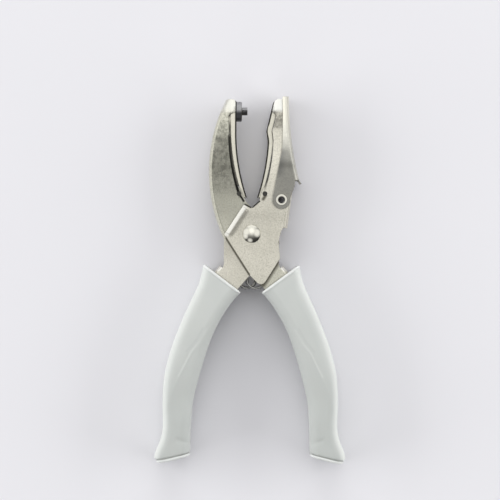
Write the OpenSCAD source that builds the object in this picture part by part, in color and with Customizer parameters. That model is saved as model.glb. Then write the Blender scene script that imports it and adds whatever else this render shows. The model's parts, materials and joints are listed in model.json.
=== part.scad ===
// Hand-held craft punch: two crossed sheet-steel arms on one rivet, a heart punch and die
// at the jaw tips, a hinged chip cover on the die jaw, and moulded grips on the handles.
// The tool lies flat: +Y runs from the grips to the jaws, and +Z is up from the surface below.
// Shapes are drawn round the pivot in the middle plane, and placed() moves them to the frame.

/* [Sheet steel] */
// Thickness of the arm sheet
sheet = 1.2; // [0.9:0.1:1.3]
// Thickness of the chip cover sheet
cover_sheet = 0.9; // [0.7:0.1:1.1]
// Wall of the two folded jaw strips
strip_wall = 0.9; // [0.6:0.1:1.2]
// Outside radius of the bends in the sheet
bend_r = 2.0; // [1.6:0.1:2.6]
// Half of the clear width inside the punch arm
punch_arm_half = 3.6; // [3.4:0.1:4.0]
// Gap between sheets that slide on each other
layer_gap = 0.2; // [0.1:0.05:0.3]
// Height of the step between the die arm's handle and its jaw
press_step = 0.4; // [0.2:0.1:0.6]
// Width of the slope down that step
press_slope = 0.8; // [0.5:0.1:1]
// Play between a strip and the jaw plates beside it
strip_play = 0.1; // [0:0.05:0.2]

/* [Jaws] */
// Outer radius of the punch jaw
jaw_r = 74; // [72:0.5:76]
// Greatest distance of the punch jaw's outside from the pivot line
jaw_reach = 20.3; // [19.9:0.1:20.7]
// Height of the punch jaw arc's centre above the pivot
jaw_centre_y = 29.6; // [28:0.1:31]
// Height of the punch jaw's tip above the pivot
punch_top = 63; // [62.5:0.1:63.5]
// Height of the chip cover's upper end above the pivot
cover_top = 64.2; // [63.8:0.1:64.8]
// Distance of the die jaw's tip below the cover's upper end
die_drop = 1.0; // [0.6:0.1:1.4]
// Outside radius of the die strip's bend at the jaw tip
tip_bend_r = 2.4; // [2:0.1:2.6]
// Length of the tip where the jaw plates cover the strips
tip_cap = 6; // [5:0.5:8]
// Turn that closes the jaws
close_angle = 13; // [12.5:0.5:13.5]
// Distance of the punch strip's flat face from the pivot line
face_x = 7.5; // [7.3:0.1:7.8]
// Height above the pivot where the strips begin to curve
strip_bend_y = 48; // [47:0.5:49]
// Height above the pivot where the strips end
strip_end_y = 17; // [16.8:0.1:17.5]
// Radius of the punch strip's curve
punch_strip_r = 95; // [92:1:98]
// Radius of the die strip's curve
die_strip_r = 100; // [95:1:105]
// Height of the die strip's pad over the strip below it
pad_rise = 0.85; // [0.6:0.05:1]
// Length of the slope at the foot of the die strip's pad
pad_slope = 5; // [4:0.5:6]
// Depth of a strip at the jaw tip
strip_depth_top = 2.9; // [2.6:0.1:3.1]
// Depth of a strip at its lower end
strip_depth_end = 1.9; // [1.7:0.1:2.1]
// Gap between the punch strip and the edge of the jaw plate
punch_strip_gap = 1.0; // [0.6:0.1:1.2]
// Gap between the die strip and the edge of the jaw plate
die_strip_gap = 0.25; // [0.15:0.05:0.4]
// Reach of the punch strip's lower flange under the jaw plate
strip_tuck = 1.0; // [0.6:0.1:1.4]
// Diameter of the cross pins behind the strips' lower ends
strip_pin_d = 2.2; // [1.8:0.1:2.4]
// Height of the cross pins above the strips' lower ends
strip_pin_rise = 1.8; // [1.6:0.1:2.2]

/* [Punch and die] */
// Height of the punch axis above the pivot
punch_y = 57.4; // [57:0.1:57.8]
// Height of the heart, from its point to the top of its lobes
heart_h = 3.6; // [3:0.1:4]
// Gap between the heart pin and the die hole
die_gap = 0.25; // [0.2:0.05:0.4]
// Diameter of the punch collar
collar_d = 9.4; // [8.6:0.1:9.6]
// Thickness of the punch collar
collar_t = 2.5; // [2.3:0.1:2.6]
// Length of the heart pin past the collar
pin_len = 2.6; // [2.2:0.1:2.8]
// Diameter of the round stem behind the heart
stem_d = 3.4; // [3:0.1:3.6]
// Diameter of the ring that holds the stem
stem_ring_d = 5.2; // [4.8:0.1:5.4]
// Thickness of the ring that holds the stem
stem_ring_t = 1.2; // [1:0.1:1.4]
// Room for paper between collar and die when the jaws are closed
paper_gap = 0.5; // [0.4:0.1:0.7]

/* [Chip cover] */
// Eyelet position across from the pivot
eyelet_x = 13.8; // [13.5:0.1:14.1]
// Eyelet position above the pivot
eyelet_y = 16; // [15.8:0.1:16.4]
// Radius of the cover's ears round the eyelet
ear_r = 4.2; // [3.9:0.1:4.3]
// Outside diameter of the eyelet's tube
eyelet_d = 4.0; // [3.7:0.1:4.1]
// Bore of the eyelet
eyelet_bore = 2.9; // [2.6:0.1:3]
// Diameter of the eyelet's rolled rims
eyelet_rim_d = 5.4; // [5:0.1:6]
// Height of the eyelet's rolled rims
eyelet_rim_t = 0.45; // [0.35:0.05:0.5]
// Radius of the cover's hollow outer face
cover_r = 161; // [150:1:170]
// Least distance of the cover's hollow face from the pivot line
cover_waist = 16.9; // [16.7:0.1:17.3]
// Height of the cover arc's centre above the pivot
cover_centre_y = 65.7; // [65:0.1:66]
// Height of the cover's lower end above the pivot
cover_end_y = 25.5; // [25:0.1:26]
// Half width of the cover's finger tab
tab_half = 4.5; // [3:0.5:5.5]

/* [Pivot] */
// Diameter of the rivet's shank
rivet_d = 4.8; // [4.2:0.1:5.2]
// Diameter of the rivet's domed heads
rivet_head_d = 8.5; // [7.5:0.1:9.5]
// Height of the rivet's domed heads
rivet_dome = 1.6; // [1.2:0.1:1.7]
// Radial clearance of parts that turn on the rivet and on the eyelet
running_fit = 0.05; // [0.03:0.01:0.08]
// Radial clearance of parts that are riveted together
riveted_fit = 0.02; // [0.01:0.01:0.03]
// Outside diameter of the spacer sleeve
sleeve_d = 7.6; // [7:0.1:7.8]
// Radius of the punch arm's plates round the pivot
hub_r = 12.2; // [11.5:0.1:12.4]
// Width of the rolled lip on the die arm's upper edge, up to its crest
lip_w = 1.7; // [1.4:0.1:2]
// Width of the lip's fall from its crest to the plate
lip_fall = 2.2; // [1.8:0.1:2.6]
// Height of the lip's crest above the plate
lip_rise = 0.5; // [0.3:0.05:0.6]

/* [Handle spring] */
// Diameter of the spring wire
wire_d = 1.3; // [1.1:0.1:1.3]
// Mean radius of the spring's coil
coil_r = 5.0; // [4.8:0.1:5.3]
// Rise of the coil in one turn
coil_pitch = 1.8; // [1.75:0.05:1.9]
// Whole turns of the coil, beyond the half turn between its legs
coil_turns = 2; // [1:1:2]
// Lean of the spring's legs from straight down
leg_lean = 8; // [6:1:10]
// Straight length of a leg before its bend
leg_len = 21.5; // [20:0.5:22]
// Radius of the bend at a leg's end
leg_bend_r = 4; // [3.5:0.5:4.5]

/* [Handles and grips] */
// Radius of the handles' centre line
handle_r = 101.5; // [101:0.1:102]
// Distance of the handle arc's centre across the pivot line
handle_centre_x = 67.8; // [67.5:0.1:68.1]
// Distance of the handle arc's centre below the pivot
handle_centre_y = 81.8; // [81.5:0.1:82.1]
// Outer side of the handle channel, from the centre line
channel_out = 4.9; // [4.6:0.1:5.1]
// Inner side of the handle channel at the pivot end, from the centre line
channel_in = 8.8; // [8.6:0.1:9]
// Inner side of the handle channel at its far end, from the centre line
channel_in_end = 4.2; // [3.8:0.1:4.6]
// Angle of the handle arc inside the grip
grip_angle = 36.9; // [36.5:0.1:37.2]
// Straight length of the grip below its curve
grip_tail = 23.5; // [22.5:0.5:25]
// Half of the grip's thickness
grip_half = 8.5; // [8.4:0.1:9]
// Radius of the grip's long edges
grip_edge_r = 5; // [4:0.1:5.4]
// Slope of the grip's foot
foot_slope = 0.27; // [0.2:0.01:0.3]
// Radius of the rounding at the grip's two ends
grip_end_r = 1.2; // [0.8:0.1:1.6]
// Clearance of the grip round the handle channel
grip_fit = 0.05; // [0.02:0.01:0.1]

/* [Hidden] */
$fn = 64;
eps = 0.01;
tall = 4 * grip_half;
fillet_steps = 6;
curve_steps = 12;

// Half heights of the sheets, counted from the middle plane
punch_arm_out = punch_arm_half + sheet;
die_handle_half = punch_arm_out + layer_gap;
die_handle_out = die_handle_half + sheet;
die_jaw_half = die_handle_half + press_step;
die_jaw_out = die_jaw_half + sheet;
cover_half = die_jaw_out + layer_gap;
cover_out = cover_half + cover_sheet;
punch_strip_half = punch_arm_half - strip_play;
die_strip_half = die_jaw_half - strip_play;

// Height of the die jaw's tip above the pivot
die_top = cover_top - die_drop;

// Centres of the punch jaw's arc and of the cover's arc, across the pivot line
jaw_centre_x = jaw_r - jaw_reach;
cover_centre_x = cover_r + cover_waist;

// Handle channel: radii about the handle arc's centre, and the angle where the web starts
channel_edge = handle_r + channel_out;
channel_inner = handle_r - channel_in;
web_bare = 2.1;
grip_start = 180 - grip_angle;
web_start = grip_start - web_bare;

// Grip stations: distance along the grip, outer half width and inner half width
grip_curve = handle_r * grip_angle * PI / 180;
grip_len = grip_curve + grip_tail;
grip_stations = [
    [0, 11.2, 10.9],
    [8.5, 7.9, 10.1],
    [24, 6.9, 9.5],
    [39, 7.4, 9.3],
    [51, 7.9, 8.4],
    [63, 7.6, 6.9],
    [74, 7.4, 6.1],
    [79, 8.4, 6.0],
    [84, 10.6, 5.8],
    [grip_len, 11.9, 5.6],
];
grip_rings = 28;
corner_steps = 5;

// The frame's origin lies under the middle of the tool's box
foot_width = grip_stations[len(grip_stations) - 1][1];
foot_reach = handle_centre_y + grip_tail + foot_slope * (foot_width - grip_end_r);
pivot_y = (foot_reach - cover_top) / 2;

module placed() {
    translate([0, pivot_y, grip_half]) children();
}

// Flat geometry helpers

function unit(v) = v / norm(v);

function reversed(list) = [for (k = [len(list) - 1:-1:0]) list[k]];

// Arc that rounds the corner at b, between the sides towards a and c
function corner_arc(a, b, c, r) =
    let(u = unit(a - b))
    let(v = unit(c - b))
    let(half = acos(u * v) / 2)
    let(centre = b + unit(u + v) * r / sin(half))
    let(from = b + u * r / tan(half) - centre)
    let(to = b + v * r / tan(half) - centre)
    let(start = atan2(from[1], from[0]))
    let(turn = atan2(from[0] * to[1] - from[1] * to[0], from * to))
    [for (k = [0:fillet_steps])
        let(angle = start + turn * k / fillet_steps)
        centre + r * [cos(angle), sin(angle)]];

// Outline with rounded corners, from points that each carry x, y and a corner radius
function rounded(points) =
    let(count = len(points))
    [for (k = [0:count - 1])
        let(a = points[(k + count - 1) % count])
        let(b = points[k])
        let(c = points[(k + 1) % count])
        for (p = b[2] > 0
                ? corner_arc([a[0], a[1]], [b[0], b[1]], [c[0], c[1]], b[2])
                : [[b[0], b[1]]])
            p];

function sharp(points) = [for (p = points) [p[0], p[1], 0]];

// Point of the left handle at an angle and a radius about the handle arc's centre
function handle_point(angle, r) =
    [r * cos(angle) + handle_centre_x, r * sin(angle) - handle_centre_y];

// Distance of the chip cover's outer face from the pivot line
function cover_x(y) = cover_centre_x - sqrt(cover_r * cover_r - pow(cover_centre_y - y, 2));

// Two like plates, one on each side of the middle plane
module plate_pair(half_in, thick) {
    for (side = [0, 1])
        mirror([0, 0, side])
            translate([0, 0, half_in])
                linear_extrude(thick)
                    children();
}

// Section of a folded channel: the web's outside lies at edge, the flanges run back by depth
module channel_section(edge, depth, half_in, wall) {
    half_out = half_in + wall;
    polygon(rounded([
        [edge - depth, half_in, 0],
        [edge - depth, half_out, 0],
        [edge, half_out, bend_r],
        [edge, -half_out, bend_r],
        [edge - depth, -half_out, 0],
        [edge - depth, -half_in, 0],
        [edge - wall, -half_in, bend_r - wall],
        [edge - wall, half_in, bend_r - wall],
    ]));
}

// Runs a section along a line between two points, with its X towards the line's right
module along_line(from, to) {
    run = to - from;
    translate(from)
        rotate(atan2(run[1], run[0]))
            rotate([-90, 0, 0])
                rotate([0, 90, 0])
                    linear_extrude(norm(run))
                        children();
}

// Strips along the jaws

// When the jaws are closed, the die's face lies this far behind the pivot line
closed_x = face_x - collar_t - paper_gap;

// The die strip's flat pad leans by the closing angle
function pad_x(y) = y * tan(close_angle) - closed_x / cos(close_angle);

// Distance of a curved strip face from the pivot line, below the bend
function curve_x(y, start, r) = start - r + sqrt(r * r - pow(strip_bend_y - y, 2));

function punch_face(y) = y > strip_bend_y ? face_x : curve_x(y, face_x, punch_strip_r);

// The die strip stands back below its pad
function pad_step(y) =
    let(share = min((strip_bend_y - y) / pad_slope, 1))
    pad_rise * share * share * (3 - 2 * share);

function die_face(y) =
    y > strip_bend_y
        ? pad_x(y)
        : curve_x(y, pad_x(strip_bend_y), die_strip_r) + pad_step(y);

function strip_depth(y) =
    let(share = (die_top - y) / (die_top - strip_end_y))
    strip_depth_top + (strip_depth_end - strip_depth_top) * share;

// Heights at which a strip's outline has a point, from its top down
function strip_heights(top) = concat(
    [top],
    [for (k = [0:curve_steps]) strip_bend_y + (strip_end_y - strip_bend_y) * k / curve_steps]
);

// Outlines on the right-hand side: which face is meant is told by the flag
function face(y, is_die) = is_die ? die_face(y) : punch_face(y);

function strip_outline(top, is_die) = concat(
    [for (y = strip_heights(top)) [face(y, is_die), y]],
    reversed([for (y = strip_heights(top)) [face(y, is_die) + strip_depth(y), y]])
);

// Lower flange of the punch strip between its pin and the jaw's tip, where it reaches back
// under the jaw plate and closes the gap beside the strip
function tuck_outline() =
    let(high = punch_top - tip_cap - plate_slope)
    let(low = strip_end_y + strip_pin_rise + pin_land)
    let(heights = [for (k = [0:curve_steps]) high + (low - high) * k / curve_steps])
    concat(
        [for (y = heights) [punch_face(y) + strip_wall / 2, y]],
        reversed([for (y = heights)
            [punch_face(y) + strip_depth(y) + punch_strip_gap + strip_tuck, y]])
    );

// Outline whose first corner is rounded
function first_rounded(points, r) =
    rounded([for (k = [0:len(points) - 1]) [points[k][0], points[k][1], k == 0 ? r : 0]]);

// Folded strip with a tab across the jaw's tip, drawn on the right-hand side
module strip_body(half, top, tab_x, corner_r, is_die) {
    past = 1;
    inside = top - strip_wall;
    tab_start = face(top, is_die) + strip_depth_top - strip_wall;
    difference() {
        union() {
            linear_extrude(2 * half, center = true)
                polygon(first_rounded(strip_outline(top - eps, is_die), corner_r));
            linear_extrude(2 * half, center = true)
                polygon([[tab_start, top], [tab_x, top], [tab_x, inside], [tab_start, inside]]);
        }
        linear_extrude(2 * (half - strip_wall), center = true)
            polygon(first_rounded(concat(
                [for (y = strip_heights(inside)) [face(y, is_die) + strip_wall, y]],
                [[tab_x + past, strip_end_y - past], [tab_x + past, inside]]
            ), max(corner_r - strip_wall, 0)));
    }
}

// Edge of a jaw plate beside its strip, drawn on the right-hand side: the plate covers the
// strip at the tip, with a corner that follows the strip's, and round the cross pin, and stands
// back from it by the gap between them
plate_cover = 0.5;
plate_slope = 1.5;
pin_land = 4;
edge_steps = 6;
function plate_edge(top, gap, corner_r, is_die) =
    let(cap_y = top - tip_cap)
    let(gap_y = cap_y - plate_slope)
    let(pin_y = strip_end_y + strip_pin_rise)
    let(land_y = pin_y + pin_land)
    concat(
        [[face(top, is_die) + plate_cover, top, corner_r]],
        [[face(cap_y, is_die) + plate_cover, cap_y, 1]],
        [[face(gap_y, is_die) + strip_depth(cap_y) + gap, gap_y, 1]],
        sharp([for (k = [0:edge_steps])
            let(y = strip_bend_y + (land_y - strip_bend_y) * k / edge_steps)
            [face(y, is_die) + strip_depth(y) + gap, y]]),
        sharp([for (y = [pin_y + plate_slope, strip_end_y])
            [face(y, is_die) + strip_depth(y) - plate_cover, y]])
    );

// Place of a cross pin, which touches the back of the leaning strip
function strip_pin_x(is_die) =
    let(y = strip_end_y + strip_pin_rise)
    let(lean = asin((strip_bend_y - y) / (is_die ? die_strip_r : punch_strip_r)))
    face(y, is_die) + strip_depth(y) + (strip_pin_d / 2 + riveted_fit) / cos(lean);

// Heart in the plane across the punch axis, with its point towards the pivot
module heart(height, gap) {
    side = height / (1 / sqrt(2) + (1 + 1 / sqrt(2)) / 2);
    lobe = side / 2;
    rotate(-45)
        union() {
            translate([-lobe - gap, -lobe - gap])
                square([side + gap, side + gap]);
            translate([lobe, 0])
                circle(lobe + gap);
            translate([0, lobe])
                circle(lobe + gap);
        }
}

// Turns a shape drawn across Z so that it runs along the punch axis, from x onwards
module along_punch(x) {
    translate([x, punch_y, 0])
        rotate([90, 0, 90])
            children();
}

// Arms

module handle_channel(half_in) {
    translate([handle_centre_x, -handle_centre_y, 0])
        intersection() {
            rotate_extrude(angle = 180 - web_start, start = web_start)
                channel_section(channel_edge, channel_out + channel_in, half_in, sheet);
            linear_extrude(tall, center = true)
                handle_taper(0);
        }
}

// Region outside the handle's free edges, which draw in towards its far end
module handle_taper(room) {
    far = 2 * channel_edge;
    polygon(concat(
        [for (k = [0:curve_steps])
            let(share = k / curve_steps)
            let(angle = web_start + (180 - web_start) * share)
            (channel_inner - room + (channel_in - channel_in_end) * share) * [cos(angle), sin(angle)]],
        [[-far, -1], [-far, far], far * [cos(web_start), sin(web_start)]]
    ));
}

// Plate between the pivot and a handle, drawn for the left-hand handle. It runs on into the
// flat of the channel's flange, and stays clear of the line where the bend begins.
handle_side_x = 12.9;
handle_side_top = -2.4;
handle_side_end = -14.3;
flange_run = 4;
crotch = [-0.7, -19.3];
module handle_plate() {
    flat_r = channel_edge - bend_r - plate_cover;
    polygon(rounded([
        [handle_side_top - handle_side_x / 2, 0, 0],
        [-handle_side_x, handle_side_top, 1],
        [-handle_side_x, handle_side_end, 0.8],
        concat(handle_point(web_start + flange_run / 4, flat_r), [0]),
        concat(handle_point(web_start + flange_run, flat_r - sheet), [0]),
        concat(handle_point(web_start + flange_run, channel_inner + sheet), [0]),
        concat(handle_point(web_start, channel_inner), [0]),
        [crotch[0], crotch[1], 0.8],
        [-crotch[0], crotch[1] - handle_side_top, 0],
    ]));
}

// Outline of the die arm's jaw plate, with the pointed plate over the pivot: each corner is
// given by its place and the radius that rounds it
web_foot = [16.7, 2.8];
web_head = [19, 20.7];
web_flat = 0.3;
lip_head = [-3.5, 14.1];
lip_foot = [-handle_side_x, -0.5];
plate_tip = [4.9, -24.9];
plate_tip_r = 2.4;
throat_corners = [[3.6, 15.6, 0.6], [0, 12.5, 0.8]];
side_corners = [[13.4, -11.3, 1.5], [12.5, -3.8, 2], [13.7, 1.2, 0.8]];
module die_jaw_plate() {
    polygon(rounded(concat(
        plate_edge(die_top, die_strip_gap, tip_bend_r, true),
        throat_corners,
        [
            [lip_head[0], lip_head[1], 0.6],
            [lip_foot[0], lip_foot[1], 1],
            [crotch[0], crotch[1], 0],
            [plate_tip[0], plate_tip[1], plate_tip_r],
        ],
        side_corners,
        [
            [web_foot[0] - bend_r, web_foot[1], 0],
            [web_head[0] - bend_r, web_head[1], 0],
            [web_head[0] - plate_cover, web_head[1] + sheet, plate_cover],
        ],
        sharp([for (y = [cover_end_y, cover_end_y + 12, cover_end_y + 24]) [cover_x(y) - bend_r, y]]),
        [[cover_x(die_top) - bend_r, die_top, 2.5]]
    )));
}

module die_arm() {
    color("silver")
        placed()
            difference() {
                union() {
                    plate_pair(die_jaw_half, sheet)
                        die_jaw_plate();
                    plate_pair(die_handle_half, sheet)
                        handle_plate();
                    along_line(web_foot, web_head)
                        channel_section(0, bend_r + web_flat, die_jaw_half, sheet);
                    handle_channel(die_handle_half);
                    rolled_lips();
                    pressed_steps();
                }
                cylinder(d = rivet_d + 2 * riveted_fit, h = tall, center = true);
                translate([eyelet_x, eyelet_y, 0])
                    cylinder(d = eyelet_d + 2 * riveted_fit, h = tall, center = true);
                translate([strip_pin_x(true), strip_end_y + strip_pin_rise, 0])
                    cylinder(d = strip_pin_d + 2 * riveted_fit, h = tall, center = true);
            }
}

// Rolled lips along the pointed plates' upper left edges: each rises from the edge to a crest
// and falls away to the plate
lip_steps = 6;
lip_inset = 1.6;
function lip_rising() = [for (k = [0:lip_steps])
    let(share = k / lip_steps)
    [-lip_w * share, die_jaw_out + lip_rise * sin(90 * share)]];

function lip_falling() = [for (k = [1:lip_steps])
    let(share = k / lip_steps)
    [-lip_w - lip_fall * share, die_jaw_out + lip_rise * (1 + cos(180 * share)) / 2]];

module rolled_lips() {
    down = unit(lip_foot - lip_head);
    root = [-lip_w, die_jaw_out - sheet / 2];
    along_line(lip_head + lip_inset * down, lip_foot - lip_inset * down)
        for (side = [0, 1])
            mirror([0, side])
                polygon(concat(lip_rising(), lip_falling(), [root]));
}

// Sloped faces of the pressed steps between the handle plates and the pointed plates
step_start = 2.4;
step_stop = 0.4;
module pressed_steps() {
    down = unit(crotch - lip_foot);
    root = die_handle_out - sheet / 2;
    along_line(lip_foot + step_start * down, crotch - step_stop * down)
        for (side = [0, 1])
            mirror([0, side])
                polygon([
                    [-press_slope, root],
                    [0, die_jaw_out],
                    [press_slope, die_handle_out],
                    [press_slope, root],
                ]);
}

module punch_arm() {
    color("silver")
        placed()
            difference() {
                union() {
                    punch_jaw();
                    plate_pair(punch_arm_half, sheet)
                        circle(hub_r);
                    mirror([1, 0, 0]) {
                        plate_pair(punch_arm_half, sheet)
                            handle_plate();
                        handle_channel(punch_arm_half);
                    }
                }
                cylinder(d = rivet_d + 2 * running_fit, h = tall, center = true);
                translate([-strip_pin_x(false), strip_end_y + strip_pin_rise, 0])
                    cylinder(d = strip_pin_d + 2 * riveted_fit, h = tall, center = true);
            }
}

// Curved folded channel of the punch jaw, cut to the jaw's outline
jaw_end = -5.6;
jaw_throat = [2.9, 15.2, 0.5];
jaw_shoulder = [15.4, 57, 6];
jaw_tip = [12.6, punch_top, 2.5];
jaw_start = 140;
jaw_sweep = 80;
function jaw_edge(y) = sqrt(jaw_r * jaw_r - pow(y - jaw_centre_y, 2)) - jaw_centre_x;

module punch_jaw() {
    far_x = 1.5 * jaw_reach;
    intersection() {
        translate([jaw_centre_x, jaw_centre_y, 0])
            rotate_extrude(angle = jaw_sweep, start = jaw_start)
                channel_section(jaw_r, jaw_reach, punch_arm_half, sheet);
        mirror([1, 0, 0])
            linear_extrude(tall, center = true)
                polygon(rounded(concat(
                    plate_edge(punch_top, punch_strip_gap, plate_slope, false),
                    [
                        jaw_throat,
                        [-jaw_throat[0], 0.75 * hub_r, 0],
                        [jaw_throat[0], jaw_end, 0],
                        [jaw_edge(jaw_end) + plate_cover, jaw_end, 1],
                        [far_x, -jaw_end, 0],
                        [far_x, jaw_shoulder[1] + 1.2 * jaw_end, 0],
                        jaw_shoulder,
                        jaw_tip,
                    ]
                )));
    }
}

module die_strip() {
    color("gainsboro")
        placed()
            difference() {
                strip_body(die_strip_half, die_top - sheet / 2, cover_x(die_top) - bend_r, tip_bend_r, true);
                rotate(-close_angle)
                    along_punch(-closed_x - strip_wall)
                        linear_extrude(4 * strip_wall)
                            heart(heart_h, die_gap);
            }
}

module punch_strip() {
    tab_x = jaw_edge(punch_top) - sheet - 2 * strip_play;
    color("gainsboro")
        placed()
            difference() {
                mirror([1, 0, 0]) {
                    strip_body(punch_strip_half, punch_top - sheet / 2, tab_x, strip_wall, false);
                    translate([0, 0, -punch_strip_half])
                        linear_extrude(strip_wall)
                            polygon(tuck_outline());
                }
                along_punch(-face_x - 2 * strip_wall)
                    cylinder(d = stem_d + 2 * riveted_fit, h = 4 * strip_wall);
            }
}

module die_strip_pin() {
    color("dimgray")
        placed()
            translate([strip_pin_x(true), strip_end_y + strip_pin_rise, 0])
                cylinder(d = strip_pin_d, h = 2 * die_jaw_out, center = true);
}

module punch_strip_pin() {
    color("dimgray")
        placed()
            translate([-strip_pin_x(false), strip_end_y + strip_pin_rise, 0])
                cylinder(d = strip_pin_d, h = 2 * punch_arm_out, center = true);
}

// Punch

module punch_collar() {
    edge = 0.4;
    color("darkslategray")
        placed()
            along_punch(-face_x)
                rotate_extrude()
                    polygon([
                        [stem_d / 2 + riveted_fit, 0],
                        [collar_d / 2, 0],
                        [collar_d / 2, collar_t - edge],
                        [collar_d / 2 - edge, collar_t],
                        [stem_d / 2 + riveted_fit, collar_t],
                    ]);
}

module punch_pin() {
    stem_len = collar_t + strip_wall + stem_ring_t;
    color("darkslategray")
        placed() {
            along_punch(collar_t - face_x)
                linear_extrude(pin_len)
                    heart(heart_h, 0);
            along_punch(collar_t - face_x - stem_len)
                cylinder(d = stem_d, h = stem_len);
        }
}

module stem_ring() {
    color("gray")
        placed()
            along_punch(-face_x - strip_wall - stem_ring_t)
                difference() {
                    cylinder(d = stem_ring_d, h = stem_ring_t);
                    translate([0, 0, -stem_ring_t])
                        cylinder(d = stem_d + 2 * riveted_fit, h = 3 * stem_ring_t);
                }
}

// Pivot

module pivot_rivet() {
    head_r = rivet_head_d / 2;
    ball_r = (head_r * head_r + rivet_dome * rivet_dome) / (2 * rivet_dome);
    color("white")
        placed() {
            cylinder(d = rivet_d, h = 2 * die_jaw_out, center = true);
            for (side = [0, 1])
                mirror([0, 0, side])
                    intersection() {
                        translate([0, 0, die_jaw_out])
                            cylinder(r = head_r, h = rivet_dome);
                        translate([0, 0, die_jaw_out + rivet_dome - ball_r])
                            sphere(ball_r);
                    }
        }
}

module pivot_sleeve() {
    color("gray")
        placed()
            difference() {
                cylinder(d = sleeve_d, h = 2 * (punch_arm_half - strip_play), center = true);
                cylinder(d = rivet_d + 2 * running_fit, h = tall, center = true);
            }
}

// Handle spring: one wire, from the left leg's end round the coil to the right leg's end

coil_sweep = 360 * coil_turns + 180 + 2 * leg_lean;
coil_rings = 8;
bend_rings = 6;
wire_sides = 6;
spring_end_gap = 0.05;

function coil_point(share) =
    let(angle = coil_sweep * share - leg_lean)
    [coil_r * cos(angle), coil_r * sin(angle), coil_pitch * coil_sweep / 360 * (share - 0.5)];

// Right leg, from the coil's end outwards: straight down, a bend, and square on to the web
leg_heading = leg_lean - 90;
leg_z = coil_pitch * coil_sweep / 720;
leg_start = coil_r * [-cos(leg_lean), -sin(leg_lean)];
leg_knee = leg_start + leg_len * [cos(leg_heading), sin(leg_heading)];
bend_centre = leg_knee + leg_bend_r * [-sin(leg_heading), cos(leg_heading)];
right_handle_centre = [-handle_centre_x, -handle_centre_y];
bend_reach = bend_centre - right_handle_centre;
end_heading = atan2(bend_reach[1], bend_reach[0]) - asin(leg_bend_r / norm(bend_reach));
leg_end = right_handle_centre
    + (channel_edge - sheet - spring_end_gap) * [cos(end_heading), sin(end_heading)];

function leg_points() = concat(
    [for (k = [1:3]) leg_start + (leg_knee - leg_start) * k / 4],
    [for (k = [0:bend_rings])
        let(angle = leg_heading + (end_heading - leg_heading) * k / bend_rings)
        bend_centre + leg_bend_r * [sin(angle), -cos(angle)]],
    [leg_end - wire_d * [cos(end_heading), sin(end_heading)], leg_end]
);

spring_path = concat(
    reversed([for (p = leg_points()) [-p[0], p[1], -leg_z]]),
    [for (k = [0:round(coil_rings * coil_sweep / 360)])
        coil_point(k / round(coil_rings * coil_sweep / 360))],
    [for (p = leg_points()) [p[0], p[1], leg_z]]
);

// Least distance between wire centres that are not neighbours, less the wire
spring_gap = min([for (i = [0:len(spring_path) - 1])
    for (j = [i + coil_rings - 2:1:len(spring_path) - 1])
        norm(spring_path[i] - spring_path[j])]) - wire_d;
echo(spring_gap = spring_gap);

// Ring of points round the wire at one place on its path
function wire_ring(path, k, r) =
    let(last = len(path) - 1)
    let(run = unit(path[min(k + 1, last)] - path[max(k - 1, 0)]))
    let(across = unit(cross([0, 0, 1], run)))
    let(up = cross(run, across))
    [for (s = [0:wire_sides - 1])
        let(angle = 360 * s / wire_sides)
        path[k] + r * (cos(angle) * across + sin(angle) * up)];

// Closed skin over rings of points, all with the same count, as triangles
module skinned(rings) {
    sides = len(rings[0]);
    last = len(rings) - 1;
    middles = [for (k = [0, last]) [for (axis = [0:2]) sum([for (p = rings[k]) p[axis]]) / sides]];
    points = concat([for (ring = rings) for (p = ring) p], middles);
    count = len(rings) * sides;
    walls = [for (k = [0:last - 1])
        for (s = [0:sides - 1])
            let(next = (s + 1) % sides)
            let(a = k * sides + s)
            let(b = k * sides + next)
            for (face = [[a, b, b + sides], [a, b + sides, a + sides]])
                face];
    ends = [for (s = [0:sides - 1])
        let(next = (s + 1) % sides)
        for (face = [[count, next, s], [count + 1, last * sides + s, last * sides + next]])
            face];
    polyhedron(points, [for (face = concat(walls, ends)) reversed(face)]);
}

function sum(list) = list * [for (item = list) 1];

module handle_spring() {
    color("lightgray")
        placed()
            skinned([for (k = [0:len(spring_path) - 1]) wire_ring(spring_path, k, wire_d / 2)]);
}

// Chip cover

cover_heights = [for (k = [0:4]) cover_top + (cover_end_y - cover_top) * k / 4];

function cover_angle(y) = 180 + asin((cover_centre_y - y) / cover_r);

module chip_cover() {
    color("darkgray")
        placed()
            difference() {
                union() {
                    cover_web();
                    plate_pair(cover_half, cover_sheet)
                        cover_plate();
                    linear_extrude(2 * tab_half, center = true)
                        cover_tab();
                }
                translate([eyelet_x, eyelet_y, 0])
                    cylinder(d = eyelet_d + 2 * running_fit, h = tall, center = true);
            }
}

// Hollow-curved web of the cover, folded over into both side plates
module cover_web() {
    from = cover_angle(cover_top);
    to = cover_angle(cover_end_y);
    translate([cover_centre_x, cover_centre_y, 0])
        rotate_extrude(angle = to - from, start = from)
            mirror([1, 0, 0])
                channel_section(-cover_r, bend_r + 1, cover_half, cover_sheet);
}

// Side plate of the cover, with its ear round the eyelet
module cover_plate() {
    inner_x = 14.1;
    inner_bend = [40.4, 40];
    ear_side = ear_r - 0.1;
    ear_tops = [1.5, 0.8];
    foot = [cover_x(cover_end_y) - bend_r, cover_end_y - 2.6];
    polygon(rounded(concat(
        [
            [inner_x, cover_top, 0],
            [inner_x, inner_bend[0], inner_bend[1]],
            [eyelet_x - ear_side, eyelet_y + ear_tops[0], 0],
            [eyelet_x, eyelet_y, 0],
            [eyelet_x + ear_side, eyelet_y + ear_tops[1], 0],
            [foot[0], foot[1], 1],
        ],
        sharp([for (y = reversed(cover_heights)) [cover_x(y) - bend_r, y]])
    )));
    translate([eyelet_x, eyelet_y])
        circle(ear_r);
}

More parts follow.
